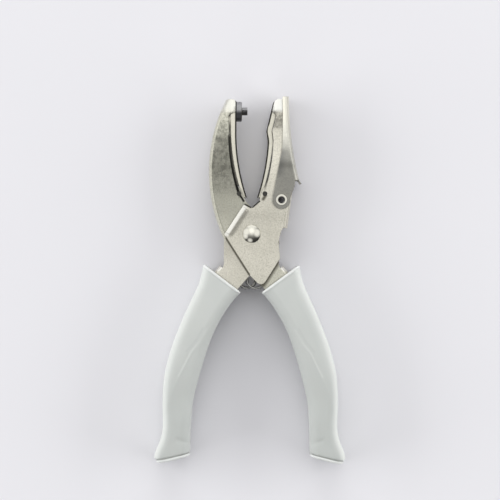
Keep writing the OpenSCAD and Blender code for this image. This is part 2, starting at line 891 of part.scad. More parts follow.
// Finger tab that flares out at the web's lower end
module cover_tab() {
    flare = 1.1;
    drop = 1.7;
    end_x = cover_x(cover_end_y);
    polygon([
        [end_x - 0.8 * cover_sheet, cover_end_y + 1],
        [end_x - 0.4 * cover_sheet, cover_end_y + 1],
        [end_x + 0.1, cover_end_y - 0.3],
        [end_x + flare, cover_end_y - drop],
        [end_x + flare - 0.7, cover_end_y - drop - 0.5],
        [end_x - 0.9 * cover_sheet, cover_end_y - 0.4],
    ]);
}

module cover_eyelet() {
    rim_gap = running_fit;
    rim_z = cover_out + rim_gap;
    color("white")
        placed()
            translate([eyelet_x, eyelet_y, 0])
                rotate_extrude()
                    polygon([
                        [eyelet_bore / 2, -rim_z - eyelet_rim_t],
                        [eyelet_rim_d / 2 - eyelet_rim_t / 2, -rim_z - eyelet_rim_t],
                        [eyelet_rim_d / 2, -rim_z - eyelet_rim_t / 2],
                        [eyelet_rim_d / 2, -rim_z],
                        [eyelet_d / 2, -rim_z],
                        [eyelet_d / 2, rim_z],
                        [eyelet_rim_d / 2, rim_z],
                        [eyelet_rim_d / 2, rim_z + eyelet_rim_t / 2],
                        [eyelet_rim_d / 2 - eyelet_rim_t / 2, rim_z + eyelet_rim_t],
                        [eyelet_bore / 2, rim_z + eyelet_rim_t],
                    ]);
}

// Grips

// Value of a station column at a distance along the grip, eased between stations
function station_value(s, column) =
    let(last = len(grip_stations) - 1)
    let(k = max([for (n = [0:last - 1]) if (grip_stations[n][0] <= s + eps) n]))
    let(a = grip_stations[k])
    let(b = grip_stations[k + 1])
    let(share = (s - a[0]) / (b[0] - a[0]))
    let(before = grip_stations[max(k - 1, 0)])
    let(after = grip_stations[min(k + 2, last)])
    let(gap = b[0] - a[0])
    let(slope_a = (b[column] - before[column]) / (b[0] - before[0]) * gap)
    let(slope_b = (after[column] - a[column]) / (after[0] - a[0]) * gap)
    let(s2 = share * share)
    let(s3 = s2 * share)
    (2 * s3 - 3 * s2 + 1) * a[column] + (s3 - 2 * s2 + share) * slope_a
        + (3 * s2 - 2 * s3) * b[column] + (s3 - s2) * slope_b;

// Point of the left grip: distance along it, offset outwards and height
function grip_point(s, u, z) =
    let(lean = max(0, (s - grip_curve) / grip_tail))
    let(along = s + foot_slope * u * lean * lean)
    let(angle = grip_start + min(along, grip_curve) / handle_r * 180 / PI)
    let(tail = max(0, along - grip_curve))
    let(flat = handle_point(angle, handle_r + u))
    [flat[0], flat[1] - tail, z];

// Outline of the grip across its length, drawn in by inset near the rounded ends
function grip_ring(s, inset) =
    let(outer = station_value(s, 1) - inset)
    let(inner = station_value(s, 2) - inset)
    let(half = grip_half - inset)
    let(r = grip_edge_r)
    [for (corner = [[1, 1, 0], [-1, 1, 90], [-1, -1, 180], [1, -1, 270]])
        for (k = [0:corner_steps])
            let(angle = corner[2] + 90 * k / corner_steps)
            let(side = corner[0] > 0 ? outer - r : r - inner)
            grip_point(s, side + r * cos(angle), corner[1] * (half - r) + r * sin(angle))];

module grip_body() {
    ease = [for (k = [0:2]) let(a = 45 * k) grip_end_r * [1 - cos(a), 1 - sin(a)]];
    middle = [for (k = [1:grip_rings - 1]) k / grip_rings];
    span = grip_len - 2 * grip_end_r;
    rings = concat(
        [for (e = ease) grip_ring(e[0], e[1])],
        [for (share = middle) grip_ring(grip_end_r + span * share, 0)],
        [for (e = reversed(ease)) grip_ring(grip_len - e[0], e[1])]
    );
    skinned(rings);
}

module left_grip() {
    color("lightcyan")
        placed()
            difference() {
                grip_body();
                handle_room(die_handle_out);
            }
}

module right_grip() {
    color("lightcyan")
        placed()
            mirror([1, 0, 0])
                difference() {
                    grip_body();
                    handle_room(punch_arm_out);
                }
}

// Space that the handle channel fills, with the grip's clearance round it
module handle_room(half_out) {
    half = half_out + grip_fit;
    past = 0.05;
    translate([handle_centre_x, -handle_centre_y, 0])
        intersection() {
            rotate_extrude(angle = 180 + past - web_start, start = web_start)
                translate([channel_inner - grip_fit, -half])
                    square([channel_in + channel_out + 2 * grip_fit, 2 * half]);
            linear_extrude(tall, center = true)
                handle_taper(grip_fit);
        }
}

die_arm();
punch_arm();
die_strip();
punch_strip();
die_strip_pin();
punch_strip_pin();
punch_collar();
punch_pin();
stem_ring();
pivot_rivet();
pivot_sleeve();
handle_spring();
chip_cover();
cover_eyelet();
left_grip();
right_grip();
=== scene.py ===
"""Looks of the hand-held craft punch: nickel-plated arms, blackened punch and moulded grips.

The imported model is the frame, in metres. Sizes below are in millimetres from the pivot, in the
middle plane, unless a comment says metres, and at() moves them to the frame.
"""
import json
import math

import bmesh
import bpy
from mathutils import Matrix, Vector


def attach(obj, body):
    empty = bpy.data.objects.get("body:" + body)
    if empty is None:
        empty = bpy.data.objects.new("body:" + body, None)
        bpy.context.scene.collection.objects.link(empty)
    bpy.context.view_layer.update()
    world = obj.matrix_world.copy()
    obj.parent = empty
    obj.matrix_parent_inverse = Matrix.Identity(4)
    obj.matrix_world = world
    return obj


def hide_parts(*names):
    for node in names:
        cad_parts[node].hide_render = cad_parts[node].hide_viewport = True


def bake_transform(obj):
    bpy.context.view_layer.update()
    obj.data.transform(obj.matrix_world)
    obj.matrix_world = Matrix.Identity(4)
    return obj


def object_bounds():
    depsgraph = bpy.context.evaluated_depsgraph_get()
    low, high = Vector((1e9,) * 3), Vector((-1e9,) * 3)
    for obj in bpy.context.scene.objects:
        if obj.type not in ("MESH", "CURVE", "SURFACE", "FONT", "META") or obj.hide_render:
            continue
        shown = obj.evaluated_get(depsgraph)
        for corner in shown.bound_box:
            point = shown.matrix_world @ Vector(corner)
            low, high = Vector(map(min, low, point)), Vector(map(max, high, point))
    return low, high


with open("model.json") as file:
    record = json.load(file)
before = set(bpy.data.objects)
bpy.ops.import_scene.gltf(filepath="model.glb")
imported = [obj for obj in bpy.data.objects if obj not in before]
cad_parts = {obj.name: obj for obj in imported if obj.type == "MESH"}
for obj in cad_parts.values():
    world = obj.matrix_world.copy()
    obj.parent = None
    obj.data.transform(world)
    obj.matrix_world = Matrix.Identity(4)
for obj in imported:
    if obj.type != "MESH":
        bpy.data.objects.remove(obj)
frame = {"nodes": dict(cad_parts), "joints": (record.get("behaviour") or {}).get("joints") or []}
cad_low, cad_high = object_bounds()
nodes = frame["nodes"]

MM = 0.001
PIVOT = Vector(next(j["pos_m"] for j in frame["joints"] if j["name"] == "squeeze"))
UP = Vector((0.0, 0.0, 1.0))
bpy.context.scene.view_settings.view_transform = "Standard"


def at(x, y, z=0.0):
    """A point given in millimetres from the pivot, in the frame's metres."""
    return PIVOT + Vector((x, y, z)) * MM


def show(obj):
    bpy.context.scene.collection.objects.link(obj)


def smooth(t):
    """Eased step from 0 to 1."""
    t = min(max(t, 0.0), 1.0)
    return t * t * (3 - 2 * t)


# Shader nodes

BEVEL_SAMPLES = 6
OPENNESS_SAMPLES = 8


def start_material(name):
    mat = bpy.data.materials.new(name)
    mat.use_nodes = True
    tree = mat.node_tree
    bsdf = tree.nodes["Principled BSDF"]
    place = tree.nodes.new("ShaderNodeTexCoord")
    return mat, tree, bsdf, place.outputs["Object"]


def noise(tree, place, scale, detail=4.0, rough=0.55, stretch=None):
    """Noise with a scale in features per metre, drawn out along the axes by a stretch."""
    node = tree.nodes.new("ShaderNodeTexNoise")
    node.inputs["Scale"].default_value = scale
    node.inputs["Detail"].default_value = detail
    node.inputs["Roughness"].default_value = rough
    if stretch:
        mapping = tree.nodes.new("ShaderNodeMapping")
        mapping.inputs["Scale"].default_value = stretch
        tree.links.new(place, mapping.inputs["Vector"])
        place = mapping.outputs["Vector"]
    tree.links.new(place, node.inputs["Vector"])
    return node.outputs["Fac"]


def spread(tree, value, low, high, out_low=0.0, out_high=1.0):
    """A value's range from low to high, mapped to another range and held at its ends."""
    node = tree.nodes.new("ShaderNodeMapRange")
    node.inputs["From Min"].default_value = low
    node.inputs["From Max"].default_value = high
    node.inputs["To Min"].default_value = out_low
    node.inputs["To Max"].default_value = out_high
    tree.links.new(value, node.inputs["Value"])
    return node.outputs["Result"]


def maths(tree, operation, first, second=0.0):
    """A calculation on two values, each of which is a float or another node's output."""
    node = tree.nodes.new("ShaderNodeMath")
    node.operation = operation
    for socket, value in zip(node.inputs, (first, second)):
        if isinstance(value, float):
            socket.default_value = value
        else:
            tree.links.new(value, socket)
    return node.outputs["Value"]


def mix(tree, share, first, second):
    """A colour between two others, each of which is a colour or another node's output."""
    node = tree.nodes.new("ShaderNodeMix")
    node.data_type = "RGBA"
    tree.links.new(share, node.inputs["Factor"])
    for socket, value in (("A", first), ("B", second)):
        target = next(s for s in node.inputs if s.name == socket and s.type == "RGBA")
        if isinstance(value, tuple):
            target.default_value = (*value, 1.0)
        else:
            tree.links.new(value, target)
    return next(s for s in node.outputs if s.type == "RGBA")


def shade(tone, share):
    """A darker tone of the same colour."""
    return tuple(share * c for c in tone)


def bump(tree, bsdf, height, strength, depth, under=None):
    """Relief of a depth in millimetres, over the normals of another node."""
    node = tree.nodes.new("ShaderNodeBump")
    node.inputs["Strength"].default_value = strength
    node.inputs["Distance"].default_value = depth * MM
    tree.links.new(height, node.inputs["Height"])
    if under:
        tree.links.new(under, node.inputs["Normal"])
    tree.links.new(node.outputs["Normal"], bsdf.inputs["Normal"])
    return node.outputs["Normal"]


def round_edges(tree, radius, soft=()):
    """Normals that turn softly over the solid's edges, with a radius in millimetres; soft gives
    places' shares of a wider radius, each with that radius."""
    node = tree.nodes.new("ShaderNodeBevel")
    node.samples = BEVEL_SAMPLES
    node.inputs["Radius"].default_value = radius * MM
    widest = None
    for share, wide in soft:
        size = spread(tree, share, 0.0, 1.0, radius * MM, wide * MM)
        widest = maths(tree, "MAXIMUM", widest, size) if widest else size
    if widest:
        tree.links.new(widest, node.inputs["Radius"])
    return node.outputs["Normal"]


def openness(tree, reach):
    """How open a place is, from 0 in a deep gap to 1 on a free face."""
    node = tree.nodes.new("ShaderNodeAmbientOcclusion")
    node.samples = OPENNESS_SAMPLES
    node.inputs["Distance"].default_value = reach * MM
    return node.outputs["AO"]


def axes_of(tree, vector):
    node = tree.nodes.new("ShaderNodeSeparateXYZ")
    tree.links.new(vector, node.inputs["Vector"])
    return node.outputs["X"], node.outputs["Y"], node.outputs["Z"]


def facing(tree):
    """The three axes of a face's normal."""
    return axes_of(tree, tree.nodes.new("ShaderNodeNewGeometry").outputs["Normal"])


def flatness(tree):
    """How squarely a face looks up or down: 1 on the flat of the tool, 0 on its edges."""
    return maths(tree, "ABSOLUTE", facing(tree)[2])


def along_heading(tree, place, heading):
    """How far a place lies along a heading."""
    node = tree.nodes.new("ShaderNodeVectorMath")
    node.operation = "DOT_PRODUCT"
    node.inputs[1].default_value = heading
    tree.links.new(place, node.inputs[0])
    return node.outputs["Value"]


def off_axis(tree, place, centre):
    """Millimetres from a place to an upright axis."""
    flat = tree.nodes.new("ShaderNodeCombineXYZ")
    for socket, value in zip(("X", "Y"), axes_of(tree, place)):
        tree.links.new(value, flat.inputs[socket])
    node = tree.nodes.new("ShaderNodeVectorMath")
    node.operation = "DISTANCE"
    node.inputs[1].default_value = (*at(*centre).xy, 0.0)
    tree.links.new(flat.outputs["Vector"], node.inputs[0])
    return maths(tree, "DIVIDE", node.outputs["Value"], MM)


def profile(tree, place, pairs):
    """A curve along the tool through (millimetres from the pivot, value) pairs: its output from
    0 to 1, its lowest value and its span."""
    low = min(v for _, v in pairs)
    size = max(max(v for _, v in pairs) - low, 0.1)
    first, last = pairs[0][0], pairs[-1][0]
    along = spread(tree, axes_of(tree, place)[1], PIVOT.y + first * MM, PIVOT.y + last * MM)
    curve = tree.nodes.new("ShaderNodeFloatCurve")
    points = curve.mapping.curves[0].points
    places = [((y - first) / (last - first), (v - low) / size) for y, v in pairs]
    points[0].location = places[0]
    points[-1].location = places[-1]
    for where in places[1:-1]:
        points.new(*where)
    curve.mapping.update()
    tree.links.new(along, curve.inputs["Value"])
    return curve.outputs["Value"], low, size


def sway(tree, bsdf, place, slopes, under):
    """Gentle waves of the pressed sheet along the tool: (millimetres from the pivot, slope in
    degrees) pairs, where a positive slope leans the sheet towards the jaws' tips."""
    heights = [(slopes[0][0], 0.0)]
    for (y0, lean0), (y1, lean1) in zip(slopes, slopes[1:]):
        mean = math.tan(math.radians((lean0 + lean1) / 2))
        heights.append((y1, heights[-1][1] - mean * (y1 - y0)))
    height, _, size = profile(tree, place, heights)
    return bump(tree, bsdf, height, 1.0, size, under)


def band(tree, place, low, high, fade):
    """Share of a stretch along the tool, in millimetres from the pivot, with soft ends."""
    y = axes_of(tree, place)[1]
    start = spread(tree, y, PIVOT.y + (low - fade) * MM, PIVOT.y + low * MM)
    end = spread(tree, y, PIVOT.y + high * MM, PIVOT.y + (high + fade) * MM, 1.0, 0.0)
    return maths(tree, "MULTIPLY", start, end)


def seam(tree, place, start, end, width, fade):
    """Share of a straight line between two points, in millimetres from the pivot, with its half
    width and the soft part of that."""
    run = Vector(end) - Vector(start)
    mask = None
    for heading, low, high in (
        (Vector((run.y, -run.x, 0.0)).normalized(), -width, width),
        (Vector((run.x, run.y, 0.0)).normalized(), 0.0, run.length),
    ):
        centre = at(*start).dot(heading) + (low + high) / 2 * MM
        off = maths(tree, "SUBTRACT", along_heading(tree, place, heading), centre)
        half = (high - low) / 2
        off = maths(tree, "ABSOLUTE", off)
        inside = spread(tree, off, (half - fade) * MM, half * MM, 1.0, 0.0)
        mask = maths(tree, "MULTIPLY", mask, inside) if mask else inside
    return mask


def past_face(tree, place, face, side):
    """How far a place lies behind a strip's face, away from the throat. The face is given by
    (millimetres above the pivot, millimetres across) pairs; side is -1 on the left."""
    across, low, size = profile(tree, place, face)
    edge = maths(tree, "ADD", maths(tree, "MULTIPLY", across, size * MM), low * MM)
    outwards = maths(tree, "MULTIPLY", axes_of(tree, place)[0], float(side))
    return maths(tree, "SUBTRACT", outwards, edge)


def bend_shade(tree, place, face, side):
    """Share of painted shade along a strip's bend on the throat side."""
    near, far = BEND_LINE
    line = spread(tree, past_face(tree, place, face, side), near * MM, far * MM, 1.0, 0.0)
    return maths(tree, "MULTIPLY", line, spread(tree, flatness(tree), *BEND_FLAT))


def strip_gap_shade(tree, place, face, side, line, stretch):
    """Share of painted shade in the open joint behind a strip: the line's distance from the face, its
    half width and the soft part of that, and the stretch along the tool, in millimetres."""
    middle, half, fade = line
    off = maths(tree, "SUBTRACT", past_face(tree, place, face, side), middle * MM)
    dark = spread(tree, maths(tree, "ABSOLUTE", off), (half - fade) * MM, half * MM, 1.0, 0.0)
    return maths(tree, "MULTIPLY", dark, band(tree, place, *stretch))


# Materials. Noises are scale, detail, roughness and stretch, and each has the two levels between
# which its mark fades in. A ROUGH value adds the roughness at both levels, a RELIEF value is the
# bump's strength and depth, and a stretch along the tool is its ends and the fade beyond them.

# Painted tones: deep painted shade for the throat, gaps, bends and the eyelet's mouth, a painted
# highlight for the lip's crest and the handles' shoulders, and painted shade for steps and joints
PAINTED_DEEP_SHADE = (0.03, 0.029, 0.026)
PAINTED_HIGHLIGHT = (0.935, 0.92, 0.85)
SHADED = (0.17, 0.16, 0.125)
CLOUDS = (70, 3)
CLOUD_LEVELS = (0.35, 0.7)
SPECKS = (1500, 2, 0.7)
SPECK_LEVELS = (0.42, 0.72)
SPECK_SHADE = 0.62
STAINS = (640, 4, 0.65)
STAIN_LEVELS = (0.44, 0.6)
STAIN_FLAT = (0.9, 0.97)
STAIN_SHADE = 0.42
RIM_SHADE = 0.6
PAINTED_GAP_SHADE = 0.12
GAP_SHADE_LEVELS = (0.25, 0.78)
SCUFFS = (500, 5, 0.6, (1.0, 0.12, 1.0))
SCUFF_LEVELS = (0.3, 0.75)
GRAIN = (900, 4, 0.6, (1.0, 0.3, 1.0))
GRAIN_DEPTH = 0.03
EDGE_ROUND = 0.25
BEND_LINE = (0.55, 0.85)
BEND_FLAT = (0.3, 0.6)


def plated_steel(
    name, bright, dull, rough=(0.2, 0.34), speck=0.5, grain=0.25, reach=1.8, slopes=None, stains=None,
    tip_highlight=None, bend=None, gap=None, lines=(), soft=(), eye=None, shadeless_stretch=None,
):
    """Nickel plate with broad dull clouds, fine speckle, hairline scuffs, rounded edges, and painted
    shade in
    the gaps within a reach. The rest is optional:

    slopes: slow waves, as sway() takes them
    stains: their depth and their stretch along the tool
    tip_highlight: the tone of a painted highlight and its stretch along the tool
    bend, gap: what bend_shade() and strip_gap_shade() take, for painted shade there
    lines: a tone and what seam() takes, for each, as painted highlights and painted shade
    soft: what seam() takes and the wider radius of the edges there, for each
    eye: an eyelet's centre, and the radii over which the painted shade in its mouth ends and the
    painted shade on its rim starts
    shadeless_stretch: a stretch along the tool without painted shade in the gaps
    """
    mat, tree, bsdf, place = start_material(name)
    bsdf.inputs["Metallic"].default_value = 1.0
    clouds = spread(tree, noise(tree, place, *CLOUDS), *CLOUD_LEVELS)
    specks = spread(tree, noise(tree, place, *SPECKS), *SPECK_LEVELS, 0.0, speck)
    color = mix(tree, clouds, bright, dull)
    color = mix(tree, specks, color, shade(dull, SPECK_SHADE))
    if stains:
        depth, stretch = stains
        patches = spread(tree, noise(tree, place, *STAINS), *STAIN_LEVELS, 0.0, depth)
        patches = maths(tree, "MULTIPLY", patches, band(tree, place, *stretch))
        patches = maths(tree, "MULTIPLY", patches, spread(tree, flatness(tree), *STAIN_FLAT))
        color = mix(tree, patches, color, shade(dull, STAIN_SHADE))
    # Painted highlight: a lighter tone over a stretch towards the tips
    if tip_highlight:
        tone, stretch = tip_highlight
        color = mix(tree, band(tree, place, *stretch), color, tone)
    # Painted shade along the strips' bends on the throat side
    if bend:
        color = mix(tree, bend_shade(tree, place, *bend), color, PAINTED_DEEP_SHADE)
    # Painted shade in the open joint behind a strip
    if gap:
        color = mix(tree, strip_gap_shade(tree, place, *gap), color, PAINTED_DEEP_SHADE)
    # Lines of painted highlight and painted shade
    for tone, line in lines:
        color = mix(tree, seam(tree, place, *line), color, tone)
    # Painted shade in the eyelet's mouth and on its outer rim
    if eye:
        centre, mouth, rim = eye
        away = off_axis(tree, place, centre)
        color = mix(tree, spread(tree, away, *rim), color, shade(dull, RIM_SHADE))
        color = mix(tree, spread(tree, away, *mouth), PAINTED_DEEP_SHADE, color)
    # Painted shade: the colour darkens where a place is closed in, in gaps, slots and under steps
    open_share = spread(tree, openness(tree, reach), *GAP_SHADE_LEVELS)
    if shadeless_stretch:
        open_share = maths(tree, "MAXIMUM", open_share, band(tree, place, *shadeless_stretch))
    color = mix(tree, open_share, shade(dull, PAINTED_GAP_SHADE), color)
    tree.links.new(color, bsdf.inputs["Base Color"])
    scuffs = spread(tree, noise(tree, place, *SCUFFS), *SCUFF_LEVELS, *rough)
    tree.links.new(scuffs, bsdf.inputs["Roughness"])
    under = round_edges(tree, EDGE_ROUND, [(seam(tree, place, *line), wide) for line, wide in soft])
    if slopes:
        under = sway(tree, bsdf, place, slopes, under)
    bump(tree, bsdf, noise(tree, place, *GRAIN), grain, GRAIN_DEPTH, under)
    return mat


BLACKENED = (0.13, 0.13, 0.135)
# Mottled greys of the collar's painted highlight
HIGHLIGHT_BLACK = (0.34, 0.34, 0.345)
HIGHLIGHT_GREY = (0.5, 0.5, 0.5)
HIGHLIGHT_MOTTLES = (260, 5, 0.65)
HIGHLIGHT_MOTTLE_LEVELS = (0.45, 0.75)
COLLAR_HIGHLIGHT = (58.2, 64.0, 1.6)
BLACK_SCALE = 420
BLACK_ROUGH = (0.3, 0.7, 0.26, 0.42)
BLACK_GRAIN = (1400, 3)
BLACK_RELIEF = (0.25, 0.03)
BLACK_EDGE = 0.12


def blackened_steel(name):
    """Blackened tool steel, with a painted highlight of mottled lighter grey on the upper part of the
    collar.
    """
    mat, tree, bsdf, place = start_material(name)
    bsdf.inputs["Metallic"].default_value = 1.0
    mottle = spread(tree, noise(tree, place, *HIGHLIGHT_MOTTLES), *HIGHLIGHT_MOTTLE_LEVELS)
    color = mix(tree, mottle, HIGHLIGHT_BLACK, HIGHLIGHT_GREY)
    color = mix(tree, band(tree, place, *COLLAR_HIGHLIGHT), BLACKENED, color)
    tree.links.new(color, bsdf.inputs["Base Color"])
    satin = spread(tree, noise(tree, place, BLACK_SCALE), *BLACK_ROUGH)
    tree.links.new(satin, bsdf.inputs["Roughness"])
    bump(tree, bsdf, noise(tree, place, *BLACK_GRAIN), *BLACK_RELIEF, round_edges(tree, BLACK_EDGE))
    return mat


GRIP_PLAIN = (0.56, 0.58, 0.557)
GRIP_DRIFTED = (0.525, 0.545, 0.527)
GRIP_LOWER_SHADE = (0.48, 0.5, 0.482)
GRIP_RIM_HIGHLIGHT = (0.605, 0.625, 0.6)
GRIP_INNER_SHADE = (0.445, 0.463, 0.447)
GRIP_DRIFT = (28, 3)
GRIP_DRIFT_LEVELS = (0.35, 0.68)
LOWER_SHADE_STRETCH = (-130.0, -82.0, 26.0)
RIM_LIT_FACES = (0.4, 0.8)
INNER_SHADED_FACES = (-0.3, -0.95)
GRIP_SATIN = (160, 4)
GRIP_ROUGH = (0.3, 0.7, 0.36, 0.5)
GRIP_GRAIN = (1800, 3)
GRIP_RELIEF = (0.16, 0.05)
GRIP_SCATTER = (1.6, 1.8, 1.8)


def grip_plastic(name, lines):
    """Soft moulded plastic: satin, very finely grained, with a faint drift of colour, a painted
    highlight on its outer edges, painted shade on its inner edges and lower part, and lines of painted
    light and shade."""
    mat, tree, bsdf, place = start_material(name)
    bsdf.inputs["Specular IOR Level"].default_value = 0.45
    bsdf.inputs["Subsurface Weight"].default_value = 0.12
    bsdf.inputs["Subsurface Radius"].default_value = tuple(r * MM for r in GRIP_SCATTER)
    bsdf.inputs["Sheen Weight"].default_value = 0.14
    bsdf.inputs["Sheen Roughness"].default_value = 0.4
    drift = spread(tree, noise(tree, place, *GRIP_DRIFT), *GRIP_DRIFT_LEVELS)
    color = mix(tree, drift, GRIP_PLAIN, GRIP_DRIFTED)
    # Painted shade, darker towards the foot
    color = mix(tree, band(tree, place, *LOWER_SHADE_STRETCH), color, GRIP_LOWER_SHADE)
    side = maths(tree, "SIGN", axes_of(tree, place)[0])
    outward = maths(tree, "MULTIPLY", facing(tree)[0], side)
    # Painted highlight on the faces that turn outwards
    color = mix(tree, spread(tree, outward, *RIM_LIT_FACES), color, GRIP_RIM_HIGHLIGHT)
    # Painted shade on the faces that turn inwards
    color = mix(tree, spread(tree, outward, *INNER_SHADED_FACES), color, GRIP_INNER_SHADE)
    # Lines of painted highlight and painted shade
    for tone, line in lines:
        color = mix(tree, seam(tree, place, *line), color, tone)
    tree.links.new(color, bsdf.inputs["Base Color"])
    satin = spread(tree, noise(tree, place, *GRIP_SATIN), *GRIP_ROUGH)
    tree.links.new(satin, bsdf.inputs["Roughness"])
    bump(tree, bsdf, noise(tree, place, *GRIP_GRAIN), *GRIP_RELIEF)
    return mat


# The strips' faces, as in the solids, for the marks along them

STRIP_TOP = 48.0
PUNCH_FACE_X = 7.5
PUNCH_STRIP_R = 95
DIE_STRIP_R = 100
CLOSE_ANGLE = math.radians(13)
CLOSED_X = 4.5
PAD_RISE = 0.85
PAD_SLOPE = 5.0
STRIP_HEIGHTS = [17, 21, 25, 29, 33, 37, 41, 43, 45, 46.5, 48, 52, 64]


def punch_face(y):
    """Distance of the punch strip's face from the pivot line."""
    below = max(STRIP_TOP - y, 0.0)
    return PUNCH_FACE_X - PUNCH_STRIP_R + math.sqrt(PUNCH_STRIP_R**2 - below**2)


def die_face(y):
    """Distance of the die strip's face from the pivot line."""
    pad = max(y, STRIP_TOP) * math.tan(CLOSE_ANGLE) - CLOSED_X / math.cos(CLOSE_ANGLE)
    below = max(STRIP_TOP - y, 0.0)
    arc = math.sqrt(DIE_STRIP_R**2 - below**2) - DIE_STRIP_R
    return pad + arc + PAD_RISE * smooth(below / PAD_SLOPE)


PUNCH_BEND = ([(y, punch_face(y)) for y in STRIP_HEIGHTS], -1)
DIE_BEND = ([(y, die_face(y)) for y in STRIP_HEIGHTS], 1)
PUNCH_GAP = (*PUNCH_BEND, (3.2, 0.8, 0.3), (18.3, 45.5, 1.8))
DIE_GAP = (*DIE_BEND, (2.4, 0.55, 0.3), (25.0, 36.0, 6.0))
# Stretch of the punch arm and its strip kept free of the painted shade in gaps
PUNCH_SHADELESS = (54.5, 80.0, 4.0)

# Die arm: painted shade along its pointed plate's edges at the throat and along its step, a painted
# highlight on the lip, painted shade at the pin's joint and a painted highlight on the handle's
# shoulder

ARM_WAVES = [
    (-110, 0), (-26, 1.0), (-8, 1.0), (4, 0), (12, -2), (20, 2), (46, 2.5), (48.5, 0), (50.5, -5),
    (55.5, -5), (57.5, 2), (59, 11), (70, 12),
]
ARM_LINES = [
    (PAINTED_DEEP_SHADE, ((-3.7, 14.2), (0.1, 12.4), 0.75, 0.3)),
    (PAINTED_DEEP_SHADE, ((-0.1, 12.4), (3.8, 15.8), 0.75, 0.3)),
    (SHADED, ((-12.4, -1.3), (-0.7, -19.3), 0.55, 0.3)),
    (PAINTED_HIGHLIGHT, ((-12.3, -1.0), (-2.9, 13.4), 1.3, 0.5)),
    (SHADED, ((6.9, 18.8), (4.7, 15.4), 1.15, 0.85)),
    (PAINTED_HIGHLIGHT, ((-16.2, -17.6), (-13.6, -15.3), 0.9, 0.6)),
]
LIP_FALL = ((-10.2, -2.6), (-0.5, 12.1), 1.7, 0.5)
ARM_TIP_BEND = ((8.0, 57.9), (16.0, 57.9), 1.9, 0.6)
arm_steel = plated_steel(
    "arm_nickel", (0.84, 0.808, 0.7), (0.745, 0.718, 0.615), slopes=ARM_WAVES, lines=ARM_LINES,
    stains=(0.6, (50.0, 57.0, 0.8)), tip_highlight=((0.88, 0.88, 0.83), (58.2, 80.0, 1.8)),
    soft=[(LIP_FALL, 1.4), (ARM_TIP_BEND, 1.8)], gap=DIE_GAP,
)

# Punch arm: painted shadow beside the pointed plate, painted shade at the pin's joint and a painted
# highlight on the handle's shoulder

JAW_WAVES = [
    (-110, 0), (-30, 0), (0, -2), (14, -5), (25, -9), (34, -11.5), (43, -8), (49, -5), (54, 2),
    (58, 11), (70, 12),
]
JAW_LINES = [
    (SHADED, ((14.0, -10.4), (4.6, -25.4), 1.9, 1.5)),
    (PAINTED_DEEP_SHADE, ((-6.2, 19.2), (-3.6, 14.9), 0.6, 0.3)),
    (PAINTED_HIGHLIGHT, ((13.5, -15.2), (16.0, -17.4), 0.9, 0.6)),
]
JAW_TIP_BEND = ((-15.0, 57.9), (-6.0, 57.9), 2.1, 0.6)
jaw_steel = plated_steel(
    "jaw_nickel", (0.82, 0.805, 0.685), (0.72, 0.71, 0.595), slopes=JAW_WAVES, lines=JAW_LINES,
    stains=(0.62, (26.0, 56.0, 9.0)), tip_highlight=((0.84, 0.835, 0.76), (58.8, 80.0, 2.6)),
    soft=[(JAW_TIP_BEND, 2.0)], gap=PUNCH_GAP, shadeless_stretch=PUNCH_SHADELESS,
)

# Strips, cover, rivets, pins, wire and punch

STRIP_COLOURS = ((0.88, 0.85, 0.725), (0.80, 0.77, 0.655), (0.14, 0.24), 0.25)
STRIP_REACH = 8.0
punch_strip_steel = plated_steel(
    "punch_strip_nickel", *STRIP_COLOURS, reach=STRIP_REACH, bend=PUNCH_BEND, gap=PUNCH_GAP,
    shadeless_stretch=PUNCH_SHADELESS,
)
die_strip_steel = plated_steel("die_strip_nickel", *STRIP_COLOURS, reach=STRIP_REACH, bend=DIE_BEND)
COVER_WAVES = [(10, -9), (30, -9.5), (37, -8), (42, 2), (48, 6), (56, 9), (70, 10)]
# Painted shade along the cover's left side
COVER_SHADE = ((0.5, 0.495, 0.455), ((13.8, 41.0), (12.2, 26.0), 3.4, 2.8))
cover_steel = plated_steel(
    "cover_nickel", (0.785, 0.77, 0.685), (0.67, 0.662, 0.595), (0.16, 0.26), 0.35, slopes=COVER_WAVES,
    tip_highlight=((0.85, 0.83, 0.725), (56.0, 80.0, 12.0)), lines=[COVER_SHADE],
)
RIVET_COLOURS = ((0.92, 0.9, 0.8), (0.85, 0.83, 0.735), (0.08, 0.16), 0.15, 0.1)
RIVET_REACH = 0.6
EYE = ((13.8, 16.0), (1.5, 1.85), (2.3, 2.65))
rivet_steel = plated_steel("rivet_nickel", *RIVET_COLOURS, reach=RIVET_REACH)
eyelet_steel = plated_steel("eyelet_nickel", *RIVET_COLOURS, reach=RIVET_REACH, eye=EYE)
pin_steel = plated_steel("pin_steel", (0.09, 0.088, 0.08), (0.06, 0.06, 0.055), (0.28, 0.42), 0.4)
wire_steel = plated_steel("wire_steel", (0.44, 0.435, 0.42), (0.34, 0.335, 0.32), (0.16, 0.28), 0.3)
black_steel = blackened_steel("black_steel")

# Solids that keep their shape

NODE_LOOKS = {
    "die_arm": arm_steel,
    "punch_arm": jaw_steel,
    "die_strip": die_strip_steel,
    "punch_strip": punch_strip_steel,
    "die_strip_pin": pin_steel,
    "punch_strip_pin": pin_steel,
    "punch_collar": black_steel,
    "punch_pin": black_steel,
    "stem_ring": pin_steel,
    "pivot_rivet": rivet_steel,
    "pivot_sleeve": pin_steel,
    "chip_cover": cover_steel,
    "cover_eyelet": eyelet_steel,
}
SHARP_EDGE = math.radians(32)
WELD_REACH = 0.002
FACE_WEIGHT = 60


